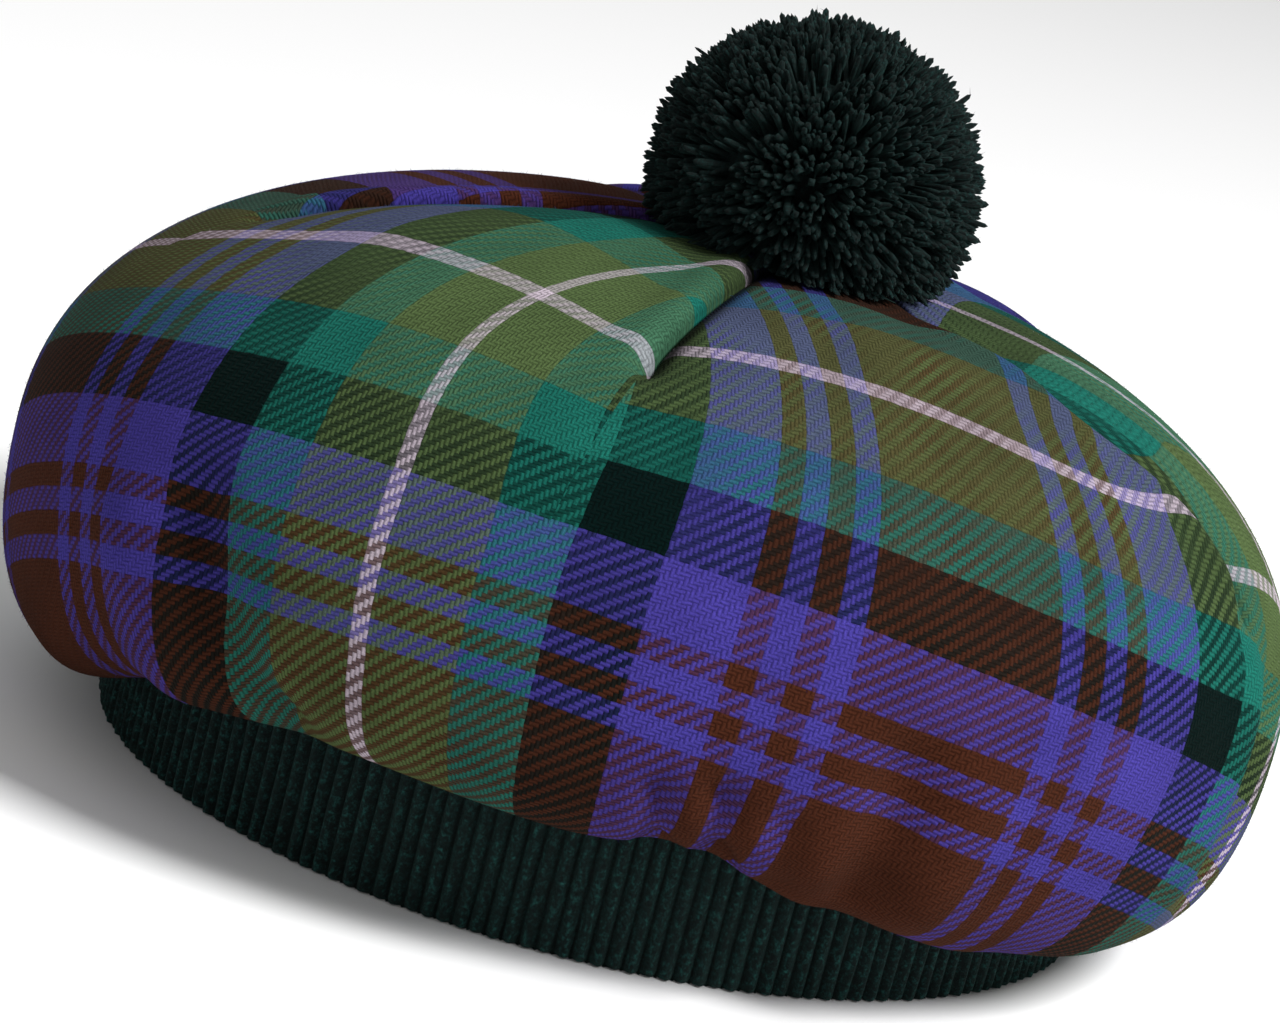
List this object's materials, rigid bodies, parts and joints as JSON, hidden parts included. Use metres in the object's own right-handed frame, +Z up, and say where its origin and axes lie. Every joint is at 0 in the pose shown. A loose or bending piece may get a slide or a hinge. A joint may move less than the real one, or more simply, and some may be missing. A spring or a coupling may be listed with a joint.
{
  "type": "tam o' shanter hat",
  "caption": "Wide, soft checked-wool tam with a darted round crown, a ribbed knitted head band and a full yarn pompom on top.",
  "frame": {"origin": "centre of the hat's footprint on the surface that it rests on, at the band's bottom edge", "axes": "+Z up through the crown to the pompom, -Y towards the front of the hat, +X to the side that the pompom leans to"},
  "size_m": [0.239, 0.2388, 0.1525],
  "materials": {
    "crown_cloth": "brushed wool twill, checked",
    "band_knit": "ribbed wool knit, matte",
    "pompom_yarn": "cut wool yarn, matte"
  },
  "bodies": {
    "root": {"crown": "crown_cloth", "knit_band": "band_knit", "pompom": "pompom_yarn"}
  },
  "joints": []
}
